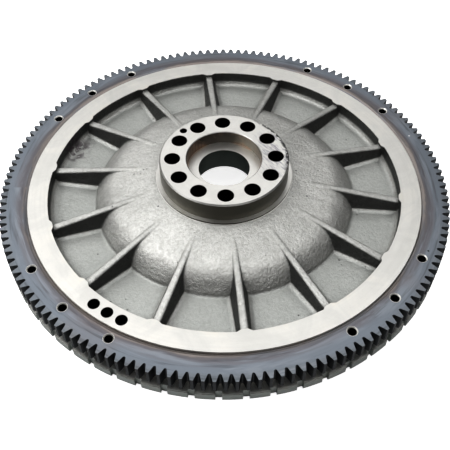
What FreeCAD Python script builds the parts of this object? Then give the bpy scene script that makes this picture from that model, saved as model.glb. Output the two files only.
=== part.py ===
import FreeCAD, Part
import math
import os
import Sketcher

# Heavy-duty diesel engine flywheel for a 430 mm clutch, with a shrunk-on
# starter ring gear.
#
# Frame: the origin is on the crankshaft axis, in the plane of the crank boss
# face (the face that bolts to the crankshaft).  +Z runs along the axis
# towards the engine, so the clutch side looks down.  +X passes through one of
# the twelve crank bolt holes.  Millimetres and degrees.

doc = FreeCAD.newDocument("Flywheel")

# ---------------------------------------------------------------- sheet
sheet = doc.addObject("Spreadsheet::Sheet", "Dimensions")
DIMS = [
    # crank boss
    ("boss_r", 69.0),            # boss outside radius
    ("boss_chamfer", 1.5),
    ("boss_foot_z", -22.0),      # turned seat round the foot of the boss
    ("seat_r", 73.3),            # outside radius of that seat
    ("seat_step", 1.8),          # step down from the seat to the cast web
    ("spigot_r", 40.0),          # counterbore that takes the crankshaft spigot
    ("spigot_depth", 15.5),
    ("spigot_chamfer", 0.8),
    ("lip_r", 27.5),             # shoulder between spigot and pilot bore
    ("lip_depth", 19.5),
    ("pilot_r", 31.0),           # pilot bearing bore, 62 mm
    ("pilot_chamfer", 1.4),
    ("boss_back_z", -45.5),      # clutch-side face that the bolt heads bear on
    ("bolt_pcd", 110.0),
    ("bolt_dia", 17.0),
    ("bolt_count", 12),
    ("crank_dowel_r", 61.3),
    ("crank_dowel_dia", 8.0),
    ("crank_dowel_depth", 14.0),
    # web and pocket floor
    ("shoulder_r", 128.6),       # where the web cone turns down to the floor
    ("shoulder_z", -34.8),
    ("shoulder_round", 32.0),
    ("foot_r", 142.8),           # foot of the web on the pocket floor
    ("floor_z", -54.0),
    ("foot_round", 4.5),
    ("wall_round", 8.0),         # casting round between floor and rim wall
    # ribs
    ("rib_count", 14),
    ("rib_phase", 16.9),
    ("rib_in_r", 76.0),
    ("rib_in_z", -25.0),
    ("rib_out_r", 200.0),
    ("rib_out_z", -43.0),
    ("rib_top_in", 2.6),         # half width of the rib crest, inner end
    ("rib_top_out", 3.9),        # half width of the rib crest, outer end
    ("rib_draft", 18.0),
    ("rib_crest_round", 1.0),
    ("rib_foot_w", 3.9),
    ("rib_foot_h", 1.9),
    ("gusset_r", 189.5),         # ribs run out into the rim wall
    ("gusset_half_w", 8.2),
    ("gusset_tip_half_w", 3.2),
    # rim
    ("face_z", -37.5),
    ("face_in_r", 192.1),
    ("seat_gear_r", 214.0),      # ring gear seat
    ("face_chamfer", 0.6),
    ("gear_stop_z", -55.2),      # shoulder the gear is driven against
    ("relief_r", 233.0),         # relief under the teeth
    ("band_top_z", -61.5),
    ("band_r", 242.5),
    ("band_lip", 0.9),
    ("band_groove_w", 1.5),
    ("band_groove_d", 1.0),
    ("back_z", -73.5),           # clutch face
    ("back_chamfer", 1.0),
    ("slot_count", 60),
    ("slot_phase", 3.0),
    ("slot_w", 6.4),
    ("slot_d", 3.1),
    # clutch side
    ("recess_r", 118.0),         # recess for the clutch disc hub
    ("recess_cone_r", 92.0),
    ("recess_edge_z", -56.0),
    ("recess_chamfer", 2.0),
    ("friction_r", 217.0),       # outside of the friction face
    ("friction_groove_w", 3.0),
    ("friction_groove_d", 1.0),
    # clutch cover bolt circle, drilled through ring gear and rim
    ("cover_pcd", 450.0),
    ("cover_dia", 8.6),
    ("cover_chamfer", 1.0),
    # balance drillings
    ("balance_r", 203.0),
    ("balance_dia", 12.0),
    ("balance_depth", 16.0),
    ("balance_phase", 230.4),
    ("balance_step", 4.75),
    # ring gear
    ("gear_top_z", -37.7),
    ("gear_w", 17.5),
    ("gear_tip_r", 243.0),
    ("gear_root_r", 235.2),
    ("gear_teeth", 150),
    ("gear_phase", -0.22),
    ("gear_edge_w", 3.6),        # wide shallow bevel along the seat
    ("gear_edge_h", 1.6),
    ("gap_tip_half_w", 3.65),    # half widths of one tooth gap
    ("gap_pitch_half_w", 2.45),
    ("gap_pitch_r", 239.4),
    ("gap_low_half_w", 1.35),
    ("gap_low_r", 236.0),
    ("gap_root_half_w", 0.6),
    ("tooth_lead", 1.5),         # bevel on the starter side of every tooth
]
for row, (alias, value) in enumerate(DIMS, start=1):
    cell = "B%d" % row
    sheet.set("A%d" % row, alias)
    sheet.set(cell, repr(value))
    sheet.setAlias(cell, alias)
doc.recompute()


def val(name):
    return float(sheet.get(name))


# ---------------------------------------------------------------- helpers
def origin_plane(body, role):
    for feature in body.Origin.OriginFeatures:
        if feature.Role == role:
            return feature
    raise RuntimeError("no origin plane " + role)


def new_body(label):
    body = doc.addObject("PartDesign::Body", label)
    body.Label = label
    return body


def new_sketch(body, name, role, offset=None):
    sketch = body.newObject("Sketcher::SketchObject", name)
    sketch.AttachmentSupport = [(origin_plane(body, role), "")]
    sketch.MapMode = "FlatFace"
    if offset is not None:
        sketch.AttachmentOffset = offset
    return sketch


def V(x, y, z=0.0):
    return FreeCAD.Vector(x, y, z)


def bind(sketch, index, expression):
    sketch.setExpression("Constraints[%d]" % index, expression)


def distance_x(sketch, geo, pos, expression, value):
    n = sketch.addConstraint(
        Sketcher.Constraint("DistanceX", -1, 1, geo, pos, value))
    bind(sketch, n, expression)


def distance_y(sketch, geo, pos, expression, value):
    n = sketch.addConstraint(
        Sketcher.Constraint("DistanceY", -1, 1, geo, pos, value))
    bind(sketch, n, expression)


def polygon(sketch, points):
    """Closed polygon whose corners are held by sheet expressions.
    points: list of (x value, y value, x expression, y expression)."""
    first = sketch.GeometryCount
    count = len(points)
    for i in range(count):
        a, b = points[i], points[(i + 1) % count]
        sketch.addGeometry(Part.LineSegment(V(a[0], a[1]), V(b[0], b[1])), False)
    for i in range(count):
        j = (i + 1) % count
        sketch.addConstraint(Sketcher.Constraint(
            "Coincident", first + i, 2, first + j, 1))
    for i, (x, y, xe, ye) in enumerate(points):
        if abs(x) < 1e-9:
            sketch.addConstraint(Sketcher.Constraint(
                "PointOnObject", first + i, 1, -2))
        elif x > 0:
            distance_x(sketch, first + i, 1, xe, x)
        else:
            n = sketch.addConstraint(Sketcher.Constraint(
                "DistanceX", first + i, 1, -1, 1, -x))
            bind(sketch, n, "-(" + xe + ")")
        if abs(y) < 1e-9:
            sketch.addConstraint(Sketcher.Constraint(
                "PointOnObject", first + i, 1, -1))
        elif y > 0:
            distance_y(sketch, first + i, 1, ye, y)
        else:
            n = sketch.addConstraint(Sketcher.Constraint(
                "DistanceY", first + i, 1, -1, 1, -y))
            bind(sketch, n, "-(" + ye + ")")
    return first


def D(name):
    return "Dimensions." + name


def volume(body):
    doc.recompute()
    return body.Shape.Volume


def edges_where(shape, test):
    return ["Edge%d" % (i + 1) for i, e in enumerate(shape.Edges) if test(e)]


def circle_edge(edge, radius, z, tol=0.05):
    curve = edge.Curve
    if curve.TypeId != "Part::GeomCircle":
        return False
    return (abs(curve.Radius - radius) < tol and abs(curve.Center.z - z) < tol
            and abs(curve.Center.x) < tol and abs(curve.Center.y) < tol)


def polar(body, name, feature, count_name):
    pattern = body.newObject("PartDesign::PolarPattern", name)
    pattern.Originals = [feature]
    pattern.Axis = (origin_axis(body, "Z_Axis"), [""])
    pattern.Angle = 360.0
    pattern.Occurrences = int(val(count_name))
    pattern.setExpression("Occurrences", D(count_name))
    body.Tip = pattern
    return pattern


def origin_axis(body, role):
    for feature in body.Origin.OriginFeatures:
        if feature.Role == role:
            return feature
    raise RuntimeError("no origin axis " + role)


# =============================================================== casting
casting = new_body("flywheel_casting")

# Half section of the casting, turned round the axis.  Drawn on the XZ plane:
# x is the radius and y is the height.  The clutch side is still full here;
# it is turned out once the ribs stand on the pocket floor.
sec = new_sketch(casting, "casting_section", "XZ_Plane")
z0 = 0.0
pts = [
    # clutch side, from the middle out
    (val("pilot_r"), val("back_z"), D("pilot_r"), D("back_z")),
    (val("band_r"), val("back_z"), D("band_r"), D("back_z")),
    # trigger band
    (val("band_r"), val("band_top_z"), D("band_r"), D("band_top_z")),
    (val("relief_r"), val("band_top_z"), D("relief_r"), D("band_top_z")),
    (val("relief_r"), val("gear_stop_z"), D("relief_r"), D("gear_stop_z")),
    # ring gear seat and machined face
    (val("seat_gear_r"), val("gear_stop_z"), D("seat_gear_r"), D("gear_stop_z")),
    (val("seat_gear_r"), val("face_z"), D("seat_gear_r"), D("face_z")),
    (val("face_in_r"), val("face_z"), D("face_in_r"), D("face_z")),
    # pocket floor and web
    (val("face_in_r"), val("floor_z"), D("face_in_r"), D("floor_z")),
    (val("foot_r"), val("floor_z"), D("foot_r"), D("floor_z")),
    (val("shoulder_r"), val("shoulder_z"), D("shoulder_r"), D("shoulder_z")),
    (val("seat_r"), val("boss_foot_z") - val("seat_step"), D("seat_r"),
     D("boss_foot_z") + " - " + D("seat_step")),
    (val("seat_r"), val("boss_foot_z"), D("seat_r"), D("boss_foot_z")),
    (val("boss_r"), val("boss_foot_z"), D("boss_r"), D("boss_foot_z")),
    (val("boss_r"), z0, D("boss_r"), ""),
    # spigot, lip and pilot bore
    (val("spigot_r"), z0, D("spigot_r"), ""),
    (val("spigot_r"), -val("spigot_depth"), D("spigot_r"), "-" + D("spigot_depth")),
    (val("lip_r"), -val("spigot_depth"), D("lip_r"), "-" + D("spigot_depth")),
    (val("lip_r"), -val("lip_depth"), D("lip_r"), "-" + D("lip_depth")),
    (val("pilot_r"), -val("lip_depth"), D("pilot_r"), "-" + D("lip_depth")),
]
polygon(sec, pts)
body_rev = casting.newObject("PartDesign::Revolution", "casting_turned")
body_rev.Profile = sec
body_rev.ReferenceAxis = (sec, ["V_Axis"])
body_rev.Angle = 360.0
doc.recompute()

# rounded shoulder of the web and the casting round of the rim wall
shape = casting.Shape
fil = casting.newObject("PartDesign::Fillet", "web_shoulder_round")
fil.Base = (body_rev, edges_where(shape, lambda e: circle_edge(
    e, val("shoulder_r"), val("shoulder_z"))))
fil.Radius = val("shoulder_round")
fil.setExpression("Radius", D("shoulder_round"))
doc.recompute()

fil2 = casting.newObject("PartDesign::Fillet", "floor_wall_round")
fil2.Base = (fil, edges_where(fil.Shape, lambda e: circle_edge(
    e, val("face_in_r"), val("floor_z"))))
fil2.Radius = val("wall_round")
fil2.setExpression("Radius", D("wall_round"))
doc.recompute()

fil3 = casting.newObject("PartDesign::Fillet", "web_foot_round")
fil3.Base = (fil2, edges_where(fil2.Shape, lambda e: circle_edge(
    e, val("foot_r"), val("floor_z"))))
fil3.Radius = val("foot_round")
fil3.setExpression("Radius", D("foot_round"))
doc.recompute()

# ---- ribs: one drafted fin, lofted from its inner to its outer section
def rib_section(name, r_name, z_name, half_name):
    """Cross-section of a rib, square to its length, on a plane parallel to
    YZ at the given radius.  It stands on a root below the pocket floor."""
    phase = math.radians(val("rib_phase"))
    r = val(r_name)
    sk = new_sketch(casting, name, "YZ_Plane", FreeCAD.Placement(
        V(r * math.sin(phase), 0, r * math.cos(phase)),
        FreeCAD.Rotation(V(0, 1, 0), val("rib_phase"))))
    sk.setExpression("AttachmentOffset.Base.x",
                     D(r_name) + " * sin(" + D("rib_phase") + " * 1 deg)")
    sk.setExpression("AttachmentOffset.Base.z",
                     D(r_name) + " * cos(" + D("rib_phase") + " * 1 deg)")
    sk.setExpression("AttachmentOffset.Rotation.Angle", D("rib_phase"))
    top = val(z_name)
    w = val(half_name)
    cr = val("rib_crest_round")
    fh = val("rib_foot_h")
    floor = val("floor_z")
    t = math.tan(math.radians(val("rib_draft")))
    w_foot = w + (top - floor - fh) * t
    w_toe = w_foot + val("rib_foot_w")
    root = floor - 3.0
    we = D(half_name)
    te = D(z_name)
    fe = D("floor_z")
    wf = "(%s + (%s - %s - %s) * tan(%s * 1 deg))" % (
        we, te, fe, D("rib_foot_h"), D("rib_draft"))
    half = [
        (w - cr, top, "%s - %s" % (we, D("rib_crest_round")), te),
        (w, top - cr * 0.8, we, "%s - %s * 0.8" % (te, D("rib_crest_round"))),
        (w_foot, floor + fh, wf, "%s + %s" % (fe, D("rib_foot_h"))),
        (w_toe, floor, "%s + %s" % (wf, D("rib_foot_w")), fe),
        (w_toe, root, "%s + %s" % (wf, D("rib_foot_w")), "%s - 3" % fe),
    ]
    left = [(-x, y, "-(%s)" % xe, ye) for x, y, xe, ye in reversed(half)]
    polygon(sk, half + left)
    return sk


rib_a = rib_section("rib_inner_section", "rib_in_r", "rib_in_z", "rib_top_in")
rib_b = rib_section("rib_outer_section", "rib_out_r", "rib_out_z", "rib_top_out")
doc.recompute()
vol_before = casting.Shape.Volume
rib = casting.newObject("PartDesign::AdditiveLoft", "rib")
rib.Profile = rib_a
rib.Sections = [rib_b]
rib.Ruled = True
casting.Tip = rib
doc.recompute()
print("rib adds mm3:", round(rib.Shape.Volume - vol_before))

# ---- gusset where a rib runs out into the rim wall, up to the machined face
gus = new_sketch(casting, "gusset_outline", "XY_Plane",
                 FreeCAD.Placement(V(0, 0, val("face_z")),
                                   FreeCAD.Rotation(V(0, 0, 1), val("rib_phase"))))
gus.setExpression("AttachmentOffset.Rotation.Angle", D("rib_phase"))
gus.setExpression("AttachmentOffset.Base.z", D("face_z"))
polygon(gus, [
    (val("face_in_r") + 3, val("gusset_half_w"), D("face_in_r") + " + 3",
     D("gusset_half_w")),
    (val("face_in_r") - 0.4, val("gusset_half_w") - 1.0, D("face_in_r") + " - 0.4",
     D("gusset_half_w") + " - 1"),
    (val("gusset_r"), val("gusset_tip_half_w"), D("gusset_r"),
     D("gusset_tip_half_w")),
    (val("gusset_r"), -val("gusset_tip_half_w"), D("gusset_r"),
     "-" + D("gusset_tip_half_w")),
    (val("face_in_r") - 0.4, 1.0 - val("gusset_half_w"), D("face_in_r") + " - 0.4",
     "1 - " + D("gusset_half_w")),
    (val("face_in_r") + 3, -val("gusset_half_w"), D("face_in_r") + " + 3",
     "-" + D("gusset_half_w")),
])
doc.recompute()
vol_before = casting.Shape.Volume
gusset = casting.newObject("PartDesign::Pad", "gusset")
gusset.Profile = gus
gusset.Reversed = True
gusset.setExpression("Length", D("face_z") + " - " + D("floor_z"))
casting.Tip = gusset
doc.recompute()
print("gusset adds mm3:", round(gusset.Shape.Volume - vol_before))

ribs = casting.newObject("PartDesign::PolarPattern", "ribs_round")
ribs.Originals = [rib, gusset]
ribs.Axis = (origin_axis(casting, "Z_Axis"), [""])
ribs.Angle = 360.0
ribs.Occurrences = 14
ribs.setExpression("Occurrences", D("rib_count"))
casting.Tip = ribs
doc.recompute()
print("casting with ribs:", round(casting.Shape.Volume), casting.Shape.isValid(),
      len(casting.Shape.Solids))


# ---- turned features, each a groove round the axis
def groove(body, name, points):
    sk = new_sketch(body, name + "_section", "XZ_Plane")
    polygon(sk, points)
    doc.recompute()
    before = body.Shape.Volume
    g = body.newObject("PartDesign::Groove", name)
    g.Profile = sk
    g.ReferenceAxis = (sk, ["V_Axis"])
    g.Angle = 360.0
    body.Tip = g
    doc.recompute()
    removed = before - g.Shape.Volume
    print(name, "removes mm3:", round(removed))
    if removed <= 0:
        raise RuntimeError(name + " cuts nothing")
    return g


# recess for the hub and springs of the clutch disc, down to the face that the
# crank bolt heads bear on
groove(casting, "clutch_recess", [
    (val("pilot_r") - 2, val("back_z") - 2, D("pilot_r") + " - 2", D("back_z") + " - 2"),
    (val("recess_r"), val("back_z") - 2, D("recess_r"), D("back_z") + " - 2"),
    (val("recess_r"), val("recess_edge_z"), D("recess_r"), D("recess_edge_z")),
    (val("recess_cone_r"), val("boss_back_z"), D("recess_cone_r"), D("boss_back_z")),
    (val("pilot_r") - 2, val("boss_back_z"), D("pilot_r") + " - 2", D("boss_back_z")),
])
# run-out groove outside the friction face
groove(casting, "friction_groove", [
    (val("friction_r"), val("back_z") - 1, D("friction_r"), D("back_z") + " - 1"),
    (val("friction_r") + val("friction_groove_w"), val("back_z") - 1,
     D("friction_r") + " + " + D("friction_groove_w"), D("back_z") + " - 1"),
    (val("friction_r") + val("friction_groove_w"), val("back_z") + val("friction_groove_d"),
     D("friction_r") + " + " + D("friction_groove_w"),
     D("back_z") + " + " + D("friction_groove_d")),
    (val("friction_r"), val("back_z") + val("friction_groove_d"), D("friction_r"),
     D("back_z") + " + " + D("friction_groove_d")),
])
# thin line turned just under the top edge of the trigger band
groove(casting, "band_line", [
    (val("band_r") - val("band_groove_d"), val("band_top_z") - val("band_lip") - val("band_groove_w"),
     D("band_r") + " - " + D("band_groove_d"),
     D("band_top_z") + " - " + D("band_lip") + " - " + D("band_groove_w")),
    (val("band_r") + 1, val("band_top_z") - val("band_lip") - val("band_groove_w"),
     D("band_r") + " + 1",
     D("band_top_z") + " - " + D("band_lip") + " - " + D("band_groove_w")),
    (val("band_r") + 1, val("band_top_z") - val("band_lip"), D("band_r") + " + 1",
     D("band_top_z") + " - " + D("band_lip")),
    (val("band_r") - val("band_groove_d"), val("band_top_z") - val("band_lip"),
     D("band_r") + " - " + D("band_groove_d"),
     D("band_top_z") + " - " + D("band_lip")),
])

# ---- edge breaks on the turned edges
turned_edges = [
    ("boss_edge", "boss_chamfer", [(val("boss_r"), 0.0)]),
    ("spigot_edge", "spigot_chamfer", [(val("spigot_r"), 0.0)]),
    ("pilot_edge", "pilot_chamfer", [(val("pilot_r"), val("boss_back_z"))]),
    ("face_edges", "face_chamfer", [(val("seat_gear_r"), val("face_z"))]),
    ("recess_edge", "recess_chamfer", [(val("recess_r"), val("back_z"))]),
    ("back_edge", "back_chamfer", [(val("band_r"), val("back_z"))]),
]
for name, size, circles in turned_edges:
    base = casting.Tip
    names = []
    for radius, z in circles:
        names += edges_where(base.Shape, lambda e: circle_edge(e, radius, z))
    if not names:
        raise RuntimeError("no edge for " + name)
    cham = casting.newObject("PartDesign::Chamfer", name)
    cham.Base = (base, names)
    cham.Size = val(size)
    cham.setExpression("Size", D(size))
    casting.Tip = cham
    doc.recompute()
    print(name, len(names), cham.State, round(base.Shape.Volume - cham.Shape.Volume))


# ---- drilled and milled features
def circle_sketch(body, name, z_name, z_value, cx, cx_expr, dia, dia_expr, phase=0.0,
                  phase_expr=None):
    sk = new_sketch(body, name, "XY_Plane", FreeCAD.Placement(
        V(0, 0, z_value), FreeCAD.Rotation(V(0, 0, 1), phase)))
    if z_name:
        sk.setExpression("AttachmentOffset.Base.z", z_name)
    if phase_expr:
        sk.setExpression("AttachmentOffset.Rotation.Angle", phase_expr)
    g = sk.addGeometry(Part.Circle(V(cx, 0), V(0, 0, 1), dia / 2.0), False)
    sk.addConstraint(Sketcher.Constraint("PointOnObject", g, 3, -1))
    distance_x(sk, g, 3, cx_expr, cx)
    n = sk.addConstraint(Sketcher.Constraint("Diameter", g, dia))
    bind(sk, n, dia_expr)
    return sk


def pocket(body, name, sketch, length_expr=None, reversed_=False):
    """Pocket down from its sketch, through all when no length is given."""
    doc.recompute()
    before = body.Shape.Volume
    p = body.newObject("PartDesign::Pocket", name)
    p.Profile = sketch
    if length_expr is None:
        p.Type = 1
    else:
        p.setExpression("Length", length_expr)
    p.Reversed = reversed_
    body.Tip = p
    doc.recompute()
    removed = before - p.Shape.Volume
    if removed <= 1e-3:
        p.Reversed = not reversed_
        doc.recompute()
        removed = before - p.Shape.Volume
    print(name, "removes mm3:", round(removed, 1))
    if removed <= 1e-3:
        raise RuntimeError(name + " cuts nothing")
    return p


sk = circle_sketch(casting, "bolt_hole_circle", None, 0.0, val("bolt_pcd") / 2,
                   D("bolt_pcd") + " / 2", val("bolt_dia"), D("bolt_dia"))
bolt_hole = pocket(casting, "bolt_hole", sk)
polar(casting, "bolt_holes", bolt_hole, "bolt_count")
doc.recompute()

sk = circle_sketch(casting, "crank_dowel_circle", None, 0.0, val("crank_dowel_r"),
                   D("crank_dowel_r"), val("crank_dowel_dia"), D("crank_dowel_dia"),
                   135.0, "135")
pocket(casting, "crank_dowel_hole", sk, D("crank_dowel_depth"))

sk = circle_sketch(casting, "balance_circle", D("face_z"), val("face_z"),
                   val("balance_r"), D("balance_r"), val("balance_dia"),
                   D("balance_dia"), val("balance_phase"), D("balance_phase"))
balance = pocket(casting, "balance_hole", sk, D("balance_depth"))
bal = polar(casting, "balance_holes", balance, "bolt_count")
bal.setExpression("Occurrences", None)
bal.Occurrences = 3
bal.Angle = 2 * val("balance_step")
bal.setExpression("Angle", "2 * " + D("balance_step"))
doc.recompute()

# twelve clutch cover holes in four groups of three, 15 degrees apart
sk = circle_sketch(casting, "cover_hole_circle", D("gear_stop_z"), val("gear_stop_z"),
                   val("cover_pcd") / 2, D("cover_pcd") + " / 2", val("cover_dia"),
                   D("cover_dia"), 30.0, "30")
cover = pocket(casting, "cover_hole", sk, D("gear_stop_z") + " - " + D("back_z") + " + 1")


def cover_groups(body, feature, prefix):
    """Three holes 15 degrees apart, and that group four times round."""
    multi = body.newObject("PartDesign::MultiTransform", prefix + "_holes")
    multi.Originals = [feature]
    group = body.newObject("PartDesign::PolarPattern", prefix + "_three")
    group.Axis = (origin_axis(body, "Z_Axis"), [""])
    group.Angle = 30.0
    group.Occurrences = 3
    ring = body.newObject("PartDesign::PolarPattern", prefix + "_four")
    ring.Axis = (origin_axis(body, "Z_Axis"), [""])
    ring.Angle = 360.0
    ring.Occurrences = 4
    multi.Transformations = [group, ring]
    body.Tip = multi
    return multi


cover_groups(casting, cover, "cover")
doc.recompute()
print("cover holes:", round(casting.Shape.Volume), casting.Shape.isValid())

# slots of the trigger band, open at both ends of the band
slot_sk = new_sketch(casting, "slot_outline", "XY_Plane", FreeCAD.Placement(
    V(0, 0, val("band_top_z") + 1), FreeCAD.Rotation(V(0, 0, 1), val("slot_phase"))))
slot_sk.setExpression("AttachmentOffset.Base.z", D("band_top_z") + " + 1")
slot_sk.setExpression("AttachmentOffset.Rotation.Angle", D("slot_phase"))
hw = val("slot_w") / 2
polygon(slot_sk, [
    (val("band_r") - val("slot_d"), -hw, D("band_r") + " - " + D("slot_d"),
     "-" + D("slot_w") + " / 2"),
    (val("band_r") + 2, -hw, D("band_r") + " + 2", "-" + D("slot_w") + " / 2"),
    (val("band_r") + 2, hw, D("band_r") + " + 2", D("slot_w") + " / 2"),
    (val("band_r") - val("slot_d"), hw, D("band_r") + " - " + D("slot_d"),
     D("slot_w") + " / 2"),
])
slot = pocket(casting, "slot", slot_sk, D("band_top_z") + " - " + D("back_z") + " + 2")
polar(casting, "slots", slot, "slot_count")
doc.recompute()
print("casting:", round(casting.Shape.Volume), casting.Shape.isValid(),
      len(casting.Shape.Solids), len(casting.Shape.Faces))

# ============================================================= ring gear
gear = new_body("starter_ring_gear")
sk = new_sketch(gear, "ring_outline", "XY_Plane", FreeCAD.Placement(
    V(0, 0, val("gear_top_z")), FreeCAD.Rotation()))
sk.setExpression("AttachmentOffset.Base.z", D("gear_top_z"))
for expr, radius in ((D("gear_tip_r"), val("gear_tip_r")),
                     (D("seat_gear_r"), val("seat_gear_r"))):
    g = sk.addGeometry(Part.Circle(V(0, 0), V(0, 0, 1), radius), False)
    sk.addConstraint(Sketcher.Constraint("Coincident", g, 3, -1, 1))
    n = sk.addConstraint(Sketcher.Constraint("Radius", g, radius))
    bind(sk, n, expr)
ring = gear.newObject("PartDesign::Pad", "ring")
ring.Profile = sk
ring.Reversed = True
ring.Length = val("gear_w")
ring.setExpression("Length", D("gear_w"))
gear.Tip = ring
doc.recompute()

# wide shallow bevel along the seat and a small lead on the tooth tips
groove(gear, "seat_bevel", [
    (val("seat_gear_r") - 1, val("gear_top_z") - val("gear_edge_h"),
     D("seat_gear_r") + " - 1", D("gear_top_z") + " - " + D("gear_edge_h")),
    (val("seat_gear_r"), val("gear_top_z") - val("gear_edge_h"),
     D("seat_gear_r"), D("gear_top_z") + " - " + D("gear_edge_h")),
    (val("seat_gear_r") + val("gear_edge_w"), val("gear_top_z"),
     D("seat_gear_r") + " + " + D("gear_edge_w"), D("gear_top_z")),
    (val("seat_gear_r") + val("gear_edge_w"), val("gear_top_z") + 1,
     D("seat_gear_r") + " + " + D("gear_edge_w"), D("gear_top_z") + " + 1"),
    (val("seat_gear_r") - 1, val("gear_top_z") + 1, D("seat_gear_r") + " - 1",
     D("gear_top_z") + " + 1"),
])

sk = circle_sketch(gear, "cover_hole_circle_gear", D("gear_top_z"), val("gear_top_z"),
                   val("cover_pcd") / 2, D("cover_pcd") + " / 2", val("cover_dia"),
                   D("cover_dia"), 30.0, "30")
g_cover = pocket(gear, "cover_hole_gear", sk, D("gear_w") + " + 1")
cover_groups(gear, g_cover, "gear_cover")
doc.recompute()
names = edges_where(gear.Shape, lambda e: e.Curve.TypeId == "Part::GeomCircle"
                    and abs(e.Curve.Radius - val("cover_dia") / 2) < 0.01
                    and abs(e.Curve.Center.z - val("gear_top_z")) < 0.01)
print("cover hole edges:", len(names))
base = gear.Tip
cham = gear.newObject("PartDesign::Chamfer", "cover_hole_edges")
cham.Base = (base, names)
cham.Size = val("cover_chamfer")
cham.setExpression("Size", D("cover_chamfer"))
gear.Tip = cham
doc.recompute()

# one gap between two teeth, cut through the width and repeated all round
half_step = 180.0 / val("gear_teeth")
gap_phase = val("gear_phase") + half_step
gap = new_sketch(gear, "tooth_gap_outline", "XY_Plane", FreeCAD.Placement(
    V(0, 0, val("gear_top_z")), FreeCAD.Rotation(V(0, 0, 1), gap_phase)))
gap.setExpression("AttachmentOffset.Base.z", D("gear_top_z"))
gap.setExpression("AttachmentOffset.Rotation.Angle",
                  D("gear_phase") + " + 180 / " + D("gear_teeth"))
half = [
    (val("gear_tip_r") + 1.5, val("gap_tip_half_w") + 0.5, D("gear_tip_r") + " + 1.5",
     D("gap_tip_half_w") + " + 0.5"),
    (val("gear_tip_r"), val("gap_tip_half_w"), D("gear_tip_r"), D("gap_tip_half_w")),
    (val("gap_pitch_r"), val("gap_pitch_half_w"), D("gap_pitch_r"), D("gap_pitch_half_w")),
    (val("gap_low_r"), val("gap_low_half_w"), D("gap_low_r"), D("gap_low_half_w")),
    (val("gear_root_r"), val("gap_root_half_w"), D("gear_root_r"), D("gap_root_half_w")),
]
other = [(x, -y, xe, "-(" + ye + ")") for x, y, xe, ye in reversed(half)]
polygon(gap, half + other)
tooth_gap = pocket(gear, "tooth_gap", gap, D("gear_w") + " + 1")
polar(gear, "teeth", tooth_gap, "gear_teeth")
doc.recompute()
print("gear:", round(gear.Shape.Volume), gear.Shape.isValid(), len(gear.Shape.Solids),
      len(gear.Shape.Faces))

# ================================================================= write
for obj in doc.Objects:
    bad = [s for s in obj.State if s in ("Invalid", "Error")]
    if bad:
        raise RuntimeError("failed object: " + obj.Name)
nodes = [casting, gear]
for node in nodes:
    shape = node.Shape
    if shape.isNull() or not shape.isValid() or len(shape.Solids) != 1:
        raise RuntimeError("bad shape: " + node.Label)
os.makedirs("parts", exist_ok=True)
for node in nodes:
    node.Shape.exportStep("parts/" + node.Label + ".step")
    box = node.Shape.BoundBox
    print(node.Label, "volume cm3 %.1f" % (node.Shape.Volume / 1000.0),
          "box %.1f %.1f %.1f" % (box.XLength, box.YLength, box.ZLength))
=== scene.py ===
import bpy
import math
from mathutils import Matrix, Vector


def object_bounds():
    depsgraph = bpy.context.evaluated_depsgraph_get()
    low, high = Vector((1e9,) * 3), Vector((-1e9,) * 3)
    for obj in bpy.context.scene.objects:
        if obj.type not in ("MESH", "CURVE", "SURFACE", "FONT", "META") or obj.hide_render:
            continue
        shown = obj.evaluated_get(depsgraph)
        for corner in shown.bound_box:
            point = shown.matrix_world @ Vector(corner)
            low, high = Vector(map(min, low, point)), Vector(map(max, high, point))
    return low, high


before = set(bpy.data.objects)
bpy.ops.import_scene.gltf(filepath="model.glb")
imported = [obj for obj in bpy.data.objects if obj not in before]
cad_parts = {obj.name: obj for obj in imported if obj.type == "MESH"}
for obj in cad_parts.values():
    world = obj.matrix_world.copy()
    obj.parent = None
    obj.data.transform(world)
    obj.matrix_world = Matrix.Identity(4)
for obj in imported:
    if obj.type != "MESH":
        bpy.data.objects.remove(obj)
cad_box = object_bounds()

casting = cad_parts["flywheel_casting"]
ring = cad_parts["starter_ring_gear"]
scene = bpy.context.scene


# ---------------------------------------------------------------- camera
def place_camera():
    lens, elevation, roll, turn = 56.65, math.radians(49.617), -0.0061, math.radians(-1.546)
    target, distance = Vector((0.00056, -0.09406, 0.0)), 0.68935
    back = Vector((0, -math.cos(elevation), math.sin(elevation)))
    right = Vector((1, 0, 0))
    up = (-back).cross(right) * -1
    c, s = math.cos(roll), math.sin(roll)
    right, up = right * c + up * s, up * c - right * s
    spin = Matrix.Rotation(turn, 3, "Z")
    place = spin @ (target + back * distance)
    right, up, back = spin @ right, spin @ up, spin @ back
    data = bpy.data.cameras.new("camera")
    data.lens, data.sensor_width = lens, 36
    data.clip_start, data.clip_end = 0.02, 50
    data.dof.use_dof = False
    cam = bpy.data.objects.new("camera", data)
    cam.matrix_world = Matrix((
        (right.x, up.x, back.x, place.x),
        (right.y, up.y, back.y, place.y),
        (right.z, up.z, back.z, place.z),
        (0, 0, 0, 1)))
    scene.collection.objects.link(cam)
    scene.camera = cam


place_camera()


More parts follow.
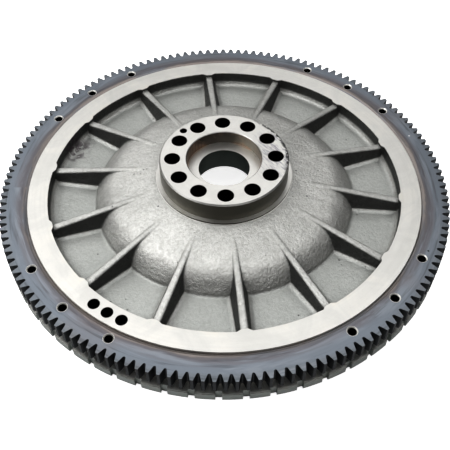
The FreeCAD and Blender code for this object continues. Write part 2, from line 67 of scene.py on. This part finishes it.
# ---------------------------------------------------------------- node writing
class Nodes:
    """Short words for building a shader tree."""

    def __init__(self, name):
        self.mat = bpy.data.materials.new(name)
        self.mat.use_nodes = True
        self.tree = self.mat.node_tree
        self.tree.nodes.clear()
        self.out = self.tree.nodes.new("ShaderNodeOutputMaterial")
        place = self.tree.nodes.new("ShaderNodeTexCoord").outputs["Object"]
        self.pos = place
        split = self.tree.nodes.new("ShaderNodeSeparateXYZ")
        self.link(place, split.inputs[0])
        self.x, self.y, self.z = split.outputs
        self.r = self.m("SQRT", self.m("ADD", self.m("MULTIPLY", self.x, self.x), self.m("MULTIPLY", self.y, self.y)))
        self.a = self.m("ARCTAN2", self.y, self.x)

    def link(self, a, b):
        self.tree.links.new(a, b)

    def feed(self, value, socket):
        if isinstance(value, bpy.types.NodeSocket):
            self.link(value, socket)
        else:
            socket.default_value = value

    def m(self, op, a, b=None, c=None):
        n = self.tree.nodes.new("ShaderNodeMath")
        n.operation = op
        for i, v in enumerate((a, b, c)):
            if v is not None:
                self.feed(v, n.inputs[i])
        return n.outputs[0]

    def ease(self, v, low, high, to_low=0.0, to_high=1.0):
        """to_low below low, to_high above high, smooth between."""
        n = self.tree.nodes.new("ShaderNodeMapRange")
        n.interpolation_type = "SMOOTHSTEP"
        self.feed(v, n.inputs["Value"])
        n.inputs["From Min"].default_value, n.inputs["From Max"].default_value = low, high
        n.inputs["To Min"].default_value, n.inputs["To Max"].default_value = to_low, to_high
        return n.outputs["Result"]

    def vec(self, x, y, z):
        n = self.tree.nodes.new("ShaderNodeCombineXYZ")
        for s, v in zip(n.inputs, (x, y, z)):
            self.feed(v, s)
        return n.outputs[0]

    def noise(self, where, scale, detail=4.0, rough=0.55, warp=0.0):
        n = self.tree.nodes.new("ShaderNodeTexNoise")
        self.feed(where, n.inputs["Vector"])
        n.inputs["Scale"].default_value = scale
        n.inputs["Detail"].default_value = detail
        n.inputs["Roughness"].default_value = rough
        n.inputs["Distortion"].default_value = warp
        return n.outputs["Fac"]

    def cells(self, where, scale, feature="F1", random=1.0):
        n = self.tree.nodes.new("ShaderNodeTexVoronoi")
        n.feature = feature
        self.feed(where, n.inputs["Vector"])
        n.inputs["Scale"].default_value = scale
        n.inputs["Randomness"].default_value = random
        return n.outputs["Distance"]

    def mix(self, fac, a, b, how="MIX"):
        n = self.tree.nodes.new("ShaderNodeMix")
        n.data_type = "RGBA"
        n.blend_type = how
        self.feed(fac, n.inputs[0])
        for v, s in ((a, n.inputs[6]), (b, n.inputs[7])):
            self.feed((*v, 1) if isinstance(v, tuple) else v, s)
        return n.outputs[2]

    def blend(self, fac, a, b):
        """Number a where fac is 0 and b where it is 1."""
        n = self.tree.nodes.new("ShaderNodeMix")
        n.data_type = "FLOAT"
        for v, s in ((fac, n.inputs[0]), (a, n.inputs[2]), (b, n.inputs[3])):
            self.feed(v, s)
        return n.outputs[0]

    def bump(self, height, distance, strength=1.0, under=None):
        n = self.tree.nodes.new("ShaderNodeBump")
        self.feed(height, n.inputs["Height"])
        n.inputs["Distance"].default_value = distance
        self.feed(strength, n.inputs["Strength"])
        if under is not None:
            self.link(under, n.inputs["Normal"])
        return n.outputs[0]

    def soft_edges(self, radius, samples=4):
        """Normals that run round the edges and corners, as cast metal does."""
        n = self.tree.nodes.new("ShaderNodeBevel")
        n.samples = samples
        self.feed(radius, n.inputs["Radius"])
        return n.outputs[0]

    def steep(self, normal, low, high):
        """1 where this normal lies flatter than low, 0 where it stands more upright than high."""
        s = self.tree.nodes.new("ShaderNodeSeparateXYZ")
        self.link(normal, s.inputs[0])
        return self.ease(self.m("ABSOLUTE", s.outputs[2]), low, high, 1.0, 0.0)

    def corners(self, distance, low, high):
        """1 deep in inner corners, where painted shade goes, 0 on open faces."""
        n = self.tree.nodes.new("ShaderNodeAmbientOcclusion")
        n.samples = 4
        n.inputs["Distance"].default_value = distance
        return self.ease(n.outputs["AO"], low, high, 1.0, 0.0)

    def in_ring_of_holes(self, count, circle, radius):
        """1 within holes evenly spaced on a circle, the first one at +X."""
        step = 2 * math.pi / count
        turn = self.m("MULTIPLY", self.a, 1 / step)
        off = self.m("MULTIPLY", self.m("SUBTRACT", turn, self.m("ROUND", turn)), step)
        dx = self.m("SUBTRACT", self.m("MULTIPLY", self.r, self.m("COSINE", off)), circle)
        dy = self.m("MULTIPLY", self.r, self.m("SINE", off))
        d = self.m("SQRT", self.m("ADD", self.m("MULTIPLY", dx, dx), self.m("MULTIPLY", dy, dy)))
        return self.ease(d, radius, radius + 0.0001, 1.0, 0.0)

    def wall(self):
        """1 on upright walls, 0 on flats."""
        n = self.tree.nodes.new("ShaderNodeNewGeometry")
        s = self.tree.nodes.new("ShaderNodeSeparateXYZ")
        self.link(n.outputs["True Normal"], s.inputs[0])
        return self.ease(self.m("ABSOLUTE", s.outputs[2]), 0.25, 0.8, 1.0, 0.0)

    def near(self, radius, degrees, low, high):
        """1 near one place on the plan, 0 away from it, in metres."""
        t = math.radians(degrees)
        dx = self.m("SUBTRACT", self.x, radius * math.cos(t))
        dy = self.m("SUBTRACT", self.y, radius * math.sin(t))
        d = self.m("SQRT", self.m("ADD", self.m("MULTIPLY", dx, dx), self.m("MULTIPLY", dy, dy)))
        return self.ease(d, low, high, 1.0, 0.0)

    def finish(self, colour, rough, normal, metallic, ior=1.5, spec=0.5):
        b = self.tree.nodes.new("ShaderNodeBsdfPrincipled")
        self.feed(colour, b.inputs["Base Color"])
        self.feed(rough, b.inputs["Roughness"])
        self.feed(metallic, b.inputs["Metallic"])
        self.link(normal, b.inputs["Normal"])
        b.inputs["IOR"].default_value = ior
        b.inputs["Specular IOR Level"].default_value = spec
        self.link(b.outputs[0], self.out.inputs[0])
        return self.mat


# ---------------------------------------------------------------- cast iron with turned faces
def casting_material():
    n = Nodes("cast_iron_turned")
    wall = n.wall()

    # where the sand mould left the surface, and where a lathe cut it
    inside = n.m("MULTIPLY", n.ease(n.r, 0.07425, 0.07435), n.ease(n.r, 0.19235, 0.19245, 1.0, 0.0))
    floor_z = n.blend(n.ease(n.r, 0.1195, 0.1205), -0.040, -0.0562)
    above = n.ease(n.m("SUBTRACT", n.z, floor_z), 0.0, 0.0004)
    below_face = n.m("MAXIMUM", n.ease(n.z, -0.03765, -0.03757, 1.0, 0.0), n.ease(n.r, 0.163, 0.165, 1.0, 0.0))
    cast = n.m("MULTIPLY", n.m("MULTIPLY", inside, above), below_face)

    # sand grain: fine grit, clotted grit and slow unevenness of the skin
    grit = n.noise(n.pos, 900, 3, 0.7)
    clot = n.noise(n.pos, 330, 4, 0.65, 0.4)
    lump = n.noise(n.pos, 70, 3, 0.5)
    cloud = n.noise(n.pos, 13, 4, 0.6, 0.5)
    pits = n.ease(n.cells(n.pos, 150), 0.0, 0.17, 1.0, 0.0)
    few = n.ease(n.noise(n.pos, 31, 1, 0.5), 0.60, 0.68)
    pits = n.m("MULTIPLY", pits, few)

    # turned faces: rings round the shaft axis, and cross grain on the walls
    rings = n.noise(n.vec(n.m("MULTIPLY", n.r, 1.0), n.m("MULTIPLY", n.z, 1.0), n.m("MULTIPLY", n.a, 0.0008)), 3200, 2, 0.6)
    broad = n.noise(n.vec(n.r, n.z, n.m("MULTIPLY", n.a, 0.004)), 420, 3, 0.6)
    smear = n.noise(n.pos, 26, 5, 0.6, 0.8)
    fleck = n.noise(n.pos, 520, 2, 0.6)

    # colour of the cast skin
    skin = n.mix(n.ease(cloud, 0.35, 0.66), (0.595, 0.595, 0.575), (0.71, 0.708, 0.685))
    skin = n.mix(n.m("MULTIPLY", n.ease(clot, 0.38, 0.64), 0.24), skin, (0.36, 0.355, 0.33))
    skin = n.mix(n.ease(grit, 0.56, 0.76, 0.0, 0.38), skin, (0.80, 0.79, 0.75))
    # painted shade: the cast skin is darker towards the pocket floors, as shade in the recess
    skin = n.mix(n.ease(n.z, -0.0540, -0.0515, 0.62, 0.0), skin, (0.36, 0.375, 0.36))
    skin = n.mix(n.m("MULTIPLY", pits, 0.75), skin, (0.10, 0.10, 0.10))
    soft = n.soft_edges(n.blend(cast, 0.0002, 0.0028))
    # painted shade: upright cast walls, their edges rounded by the bevel normals, are darkened nearly to black
    skin = n.mix(n.m("MULTIPLY", n.steep(soft, 0.36, 0.62), 0.90), skin, (0.050, 0.052, 0.050))
    # painted shade: inner corners found by occlusion are darkened
    skin = n.mix(n.m("MULTIPLY", n.corners(0.016, 0.36, 0.86), 0.72), skin, (0.10, 0.10, 0.095))
    # brown stains in one pocket beside the rim, and dark pits at the boss
    blotch = n.noise(n.pos, 75, 4, 0.6, 1.2)
    stain = n.m("MULTIPLY", n.m("MULTIPLY", n.near(0.184, 157, 0.006, 0.027), n.ease(n.r, 0.165, 0.183)), n.ease(blotch, 0.44, 0.56))
    skin = n.mix(n.m("MULTIPLY", stain, 0.85), skin, (0.085, 0.065, 0.078))
    for radius, degrees in ((0.083, 212), (0.0785, 1.5), (0.093, 339)):
        skin = n.mix(n.m("MULTIPLY", n.near(radius, degrees, 0.0005, 0.0013), 0.85), skin, (0.05, 0.05, 0.055))

    # colour of the turned metal
    bare = n.mix(n.ease(smear, 0.34, 0.68), (0.635, 0.628, 0.602), (0.735, 0.726, 0.698))
    bare = n.mix(n.ease(broad, 0.35, 0.72, 0.0, 0.22), bare, (0.60, 0.595, 0.575))
    bare = n.mix(n.ease(fleck, 0.60, 0.78, 0.0, 0.18), bare, (0.50, 0.48, 0.45))
    # painted shade: upright turned walls are darker
    bare = n.mix(n.m("MULTIPLY", wall, 0.42), bare, (0.36, 0.345, 0.30))
    # painted shade: the boss wall is darkened nearly to black
    boss_wall_shade = n.m("MULTIPLY", wall, n.m("MULTIPLY", n.ease(n.r, 0.0680, 0.0686), n.ease(n.r, 0.0740, 0.0744, 1.0, 0.0)))
    bare = n.mix(n.m("MULTIPLY", boss_wall_shade, 0.90), bare, (0.105, 0.10, 0.078))
    band = n.m("MULTIPLY", n.ease(n.r, 0.2385, 0.2392), wall)
    bare = n.mix(n.m("MULTIPLY", band, 0.80), bare, (0.34, 0.372, 0.362))
    # handling marks on the boss face, most of them on one side of it
    on_boss = n.m("MULTIPLY", n.ease(n.r, 0.040, 0.0405), n.ease(n.r, 0.0688, 0.0692, 1.0, 0.0))
    scratch = n.noise(n.vec(n.m("MULTIPLY", n.m("ADD", n.x, n.m("MULTIPLY", n.y, 0.7)), 9.0), n.m("SUBTRACT", n.y, n.m("MULTIPLY", n.x, 0.7)), n.z), 62, 4, 0.65, 0.8)
    side = n.near(0.062, 4, 0.010, 0.052)
    marks = n.m("MULTIPLY", n.m("MULTIPLY", n.ease(scratch, 0.50, 0.60), side), on_boss)
    bare = n.mix(n.m("MULTIPLY", marks, 0.85), bare, (0.27, 0.262, 0.315))
    rim_wear = n.m("MULTIPLY", n.m("MULTIPLY", n.ease(n.r, 0.0645, 0.0672), n.ease(n.r, 0.0702, 0.0708, 1.0, 0.0)), n.ease(n.z, -0.0035, -0.0025))
    chips = n.m("MULTIPLY", n.m("MULTIPLY", rim_wear, n.near(0.067, 18, 0.026, 0.054)), n.ease(n.noise(n.pos, 240, 3, 0.7), 0.46, 0.53))
    bare = n.mix(n.m("MULTIPLY", chips, 0.92), bare, (0.045, 0.045, 0.05))

    # painted shade: the counterbore wall is darkened to a dark brown as shade in the recess, and near black on one
    # side as painted shadow; the bearing bore under it is painted dark as shade
    counterbore = n.m("MULTIPLY", n.m("MULTIPLY", wall, n.ease(n.r, 0.0385, 0.0390)), n.ease(n.r, 0.0402, 0.0406, 1.0, 0.0))
    bare = n.mix(n.m("MULTIPLY", counterbore, 0.88), bare, (0.155, 0.138, 0.112))
    bare = n.mix(n.m("MULTIPLY", n.m("MULTIPLY", counterbore, n.near(0.040, 165, 0.022, 0.060)), 0.93), bare, (0.040, 0.029, 0.023))
    burnt = n.m("MULTIPLY", n.m("MULTIPLY", n.ease(n.r, 0.0374, 0.0388), n.ease(n.r, 0.0399, 0.0401, 1.0, 0.0)), n.ease(smear, 0.42, 0.58))
    bare = n.mix(n.m("MULTIPLY", burnt, 0.40), bare, (0.52, 0.36, 0.25))
    # painted shade: the bearing bore wall is darkened
    pilot_bore_shade = n.m("MULTIPLY", n.ease(n.r, 0.0318, 0.0322, 1.0, 0.0), n.m("MULTIPLY", wall, n.ease(n.z, -0.0162, -0.0158, 1.0, 0.0)))
    bare = n.mix(n.m("MULTIPLY", pilot_bore_shade, 0.9), bare, (0.105, 0.135, 0.122))
    # painted shade: the holes are darkened to black inside, on every wall and at the bottom
    drilled_hole_shade = n.m("MULTIPLY", n.in_ring_of_holes(12, 0.055, 0.00856), n.ease(n.z, -0.0010, -0.0004, 1.0, 0.0))
    drilled_hole_shade = n.m("MAXIMUM", drilled_hole_shade, n.m("MULTIPLY", n.near(0.0613, 135, 0.00406, 0.00412), n.ease(n.z, -0.0008, -0.0003, 1.0, 0.0)))
    for degrees in (230.4, 235.15, 239.9):
        drilled_hole_shade = n.m("MAXIMUM", drilled_hole_shade, n.m("MULTIPLY", n.near(0.203, degrees, 0.00606, 0.00612), n.ease(n.z, -0.0383, -0.0378, 1.0, 0.0)))
    for quarter in range(4):
        for degrees in (30, 45, 60):
            drilled_hole_shade = n.m("MAXIMUM", drilled_hole_shade, n.m("MULTIPLY", n.near(0.225, degrees + 90 * quarter, 0.00436, 0.00442), n.ease(n.z, -0.0722, -0.0712)))
    bare = n.mix(n.m("MULTIPLY", drilled_hole_shade, 0.97), bare, (0.012, 0.012, 0.013))
    # a warm dry bloom on the face ring, stronger towards the pockets
    bloom = n.m("MULTIPLY", n.m("MULTIPLY", n.ease(n.r, 0.186, 0.200, 1.0, 0.25), n.ease(n.r, 0.160, 0.165)), n.ease(smear, 0.46, 0.66))
    bare = n.mix(n.m("MULTIPLY", bloom, 0.30), bare, (0.72, 0.66, 0.54))

    colour = n.mix(cast, bare, skin)

    smooth = n.m("ADD", n.ease(smear, 0.3, 0.7, 0.30, 0.40), n.ease(broad, 0.3, 0.7, 0.0, 0.06))
    coarse = n.ease(clot, 0.3, 0.7, 0.42, 0.56)
    rough = n.blend(cast, smooth, coarse)

    height_cast = n.m("ADD", n.m("MULTIPLY", clot, 0.62), n.m("ADD", n.m("MULTIPLY", grit, 0.30), n.m("MULTIPLY", lump, 0.9)))
    height_cast = n.m("MULTIPLY", height_cast, n.ease(n.z, -0.0535, -0.0500, 0.62, 1.0))
    height_cast = n.m("MULTIPLY", height_cast, n.m("ADD", n.m("MULTIPLY", n.steep(soft, 0.66, 0.96), 1.0), 0.95))
    height_cast = n.m("SUBTRACT", height_cast, n.m("MULTIPLY", pits, 0.7))
    height_cut = n.m("ADD", n.m("MULTIPLY", rings, 0.034), n.m("MULTIPLY", broad, 0.021))
    height_cut = n.m("SUBTRACT", height_cut, n.m("ADD", n.m("MULTIPLY", marks, 0.08), n.m("MULTIPLY", chips, 0.35)))
    normal = n.bump(n.blend(cast, height_cut, height_cast), 0.0013, 1.0, soft)
    metal = n.blend(cast, 0.92, 0.80)
    return n.finish(colour, rough, normal, metal)


# ---------------------------------------------------------------- hardened ring gear
def ring_material():
    n = Nodes("ring_steel_tinted")
    wall = n.wall()
    smear = n.noise(n.vec(n.m("MULTIPLY", n.r, 1.6), n.m("MULTIPLY", n.z, 1.6), n.m("MULTIPLY", n.a, 0.045)), 60, 4, 0.6, 0.6)
    slow = n.noise(n.pos, 9, 3, 0.5)
    rings = n.noise(n.vec(n.r, n.z, n.m("MULTIPLY", n.a, 0.002)), 2400, 2, 0.6)
    grit = n.noise(n.pos, 1100, 2, 0.6)
    streak = n.noise(n.vec(n.m("MULTIPLY", n.r, 0.8), n.m("MULTIPLY", n.z, 0.8), n.m("MULTIPLY", n.a, 0.012)), 330, 3, 0.6)

    # heat tint: straw brown at the seat, violet, then blue-grey out to the teeth
    wander = n.m("MULTIPLY", n.m("SUBTRACT", smear, 0.5), 0.020)
    where = n.m("ADD", n.r, wander)
    body = n.mix(n.ease(where, 0.2165, 0.2215), (0.285, 0.258, 0.245), (0.220, 0.218, 0.236))
    body = n.mix(n.ease(where, 0.2215, 0.2300), body, (0.232, 0.256, 0.288))
    body = n.mix(n.ease(where, 0.2330, 0.2400), body, (0.205, 0.222, 0.240))
    body = n.mix(n.m("MULTIPLY", n.ease(smear, 0.48, 0.66), 0.50), body, (0.36, 0.385, 0.42))
    body = n.mix(n.m("MULTIPLY", n.ease(slow, 0.50, 0.64), 0.30), body, (0.24, 0.195, 0.185))
    body = n.mix(n.ease(streak, 0.52, 0.70, 0.0, 0.50), body, (0.095, 0.104, 0.115))
    # painted shade: upright walls of the ring and its teeth are darkened to near black
    body = n.mix(n.m("MULTIPLY", wall, 0.88), body, (0.036, 0.038, 0.040))
    edge = n.m("MULTIPLY", n.ease(where, 0.2165, 0.2185), n.ease(where, 0.2200, 0.2240, 1.0, 0.0))
    body = n.mix(n.m("MULTIPLY", edge, 0.38), body, (0.105, 0.100, 0.110))
    # one bright nick and one dark dot on the top face
    top = n.ease(n.z, -0.0386, -0.0380)
    body = n.mix(n.m("MULTIPLY", n.m("MULTIPLY", n.near(0.228, 17.1, 0.0006, 0.0014), top), 0.9), body, (0.85, 0.85, 0.86))
    body = n.mix(n.m("MULTIPLY", n.m("MULTIPLY", n.near(0.228, 333.0, 0.0006, 0.0014), top), 0.9), body, (0.03, 0.03, 0.03))
    # the holes show bare metal on their chamfers, painted bright as a highlight
    at_hole = None
    for quarter in range(4):
        for degrees in (30, 45, 60):
            spot = n.near(0.225, degrees + 90 * quarter, 0.00545, 0.00560)
            at_hole = spot if at_hole is None else n.m("MAXIMUM", at_hole, spot)
    bright = n.m("MULTIPLY", at_hole, n.ease(n.z, -0.0392, -0.0388))
    body = n.mix(n.m("MULTIPLY", bright, 0.92), body, (0.86, 0.85, 0.81))
    # painted shade: the holes are black inside
    ring_hole_shade = None
    for quarter in range(4):
        for degrees in (30, 45, 60):
            spot = n.near(0.225, degrees + 90 * quarter, 0.00436, 0.00442)
            ring_hole_shade = spot if ring_hole_shade is None else n.m("MAXIMUM", ring_hole_shade, spot)
    body = n.mix(n.m("MULTIPLY", n.m("MULTIPLY", ring_hole_shade, n.ease(n.z, -0.0396, -0.0390, 1.0, 0.0)), 0.95), body, (0.012, 0.012, 0.013))

    rough = n.m("ADD", n.ease(smear, 0.3, 0.7, 0.36, 0.48), n.m("MULTIPLY", wall, 0.08))
    height = n.m("ADD", n.m("MULTIPLY", rings, 0.05), n.m("ADD", n.m("MULTIPLY", grit, 0.03), n.m("MULTIPLY", streak, 0.05)))
    return n.finish(body, rough, n.bump(height, 0.0009, 1.0), 0.88)


for node, material in ((casting, casting_material()), (ring, ring_material())):
    for s in node.material_slots:
        s.material = material


# ---------------------------------------------------------------- stage and light
def seen_white(tree, shader, strength):
    """Shows a brighter, plain tone to the eye than it sheds on the object, as an evenly lit sweep does."""
    glow = tree.nodes.new("ShaderNodeEmission")
    glow.inputs["Color"].default_value = (1, 1, 1, 1)
    glow.inputs["Strength"].default_value = strength
    both = tree.nodes.new("ShaderNodeAddShader")
    tree.links.new(shader, both.inputs[0])
    tree.links.new(glow.outputs[0], both.inputs[1])
    pick = tree.nodes.new("ShaderNodeMixShader")
    tree.links.new(tree.nodes.new("ShaderNodeLightPath").outputs["Is Camera Ray"], pick.inputs[0])
    tree.links.new(shader, pick.inputs[1])
    tree.links.new(both.outputs[0], pick.inputs[2])
    return pick.outputs[0]


def stage():
    mesh = bpy.data.meshes.new("floor")
    z, w = cad_box[0].z - 0.0004, 12.0
    mesh.from_pydata([(-w, -w, z), (w, -w, z), (w, w, z), (-w, w, z)], [], [(0, 1, 2, 3)])
    floor = bpy.data.objects.new("floor", mesh)
    scene.collection.objects.link(floor)
    mat = bpy.data.materials.new("pale_floor")
    mat.use_nodes = True
    b = mat.node_tree.nodes["Principled BSDF"]
    b.inputs["Base Color"].default_value = (0.86, 0.86, 0.86, 1)
    b.inputs["Roughness"].default_value = 0.9
    b.inputs["Specular IOR Level"].default_value = 0.1
    shown = seen_white(mat.node_tree, b.outputs[0], 0.76)
    mat.node_tree.links.new(shown, mat.node_tree.nodes["Material Output"].inputs[0])
    mesh.materials.append(mat)


def softbox(name, azimuth, elevation, distance, width, height, glow, colour=(1, 1, 1)):
    """A panel that faces the object. glow is its brightness, so the size doesn't change how bright it looks in a reflection."""
    a, e = math.radians(azimuth), math.radians(elevation)
    place = Vector((math.cos(a) * math.cos(e), math.sin(a) * math.cos(e), math.sin(e))) * distance
    data = bpy.data.lights.new(name, "AREA")
    data.shape, data.size, data.size_y = "RECTANGLE", width, height
    data.energy, data.color = glow * width * height * math.pi, colour
    o = bpy.data.objects.new(name, data)
    o.matrix_world = Matrix.Translation(place) @ (-place).to_track_quat("-Z", "Y").to_matrix().to_4x4()
    scene.collection.objects.link(o)


def lights():
    softbox("softbox_over", 104, 68.7, 1.61, 2.5, 2.7, 1.25)
    softbox("softbox_left", 186, 48, 1.7, 1.3, 1.2, 2.8)
    softbox("softbox_left_low", 136, 26, 1.9, 0.9, 0.7, 1.0)
    softbox("softbox_right", 346, 58, 1.8, 1.1, 0.9, 1.9)
    softbox("softbox_front", 285, 52, 2.0, 1.5, 0.8, 0.75)
    world = bpy.data.worlds.new("studio")
    scene.world = world
    world.use_nodes = True
    tree = world.node_tree
    back = tree.nodes["Background"]
    back.inputs["Color"].default_value = (1.0, 1.0, 1.0, 1)
    back.inputs["Strength"].default_value = 0.02
    tree.links.new(seen_white(tree, back.outputs[0], 0.85), tree.nodes["World Output"].inputs[0])


stage()
lights()
scene.view_settings.view_transform = "Standard"
scene.view_settings.gamma = 0.76
scene.view_settings.exposure = 0.12
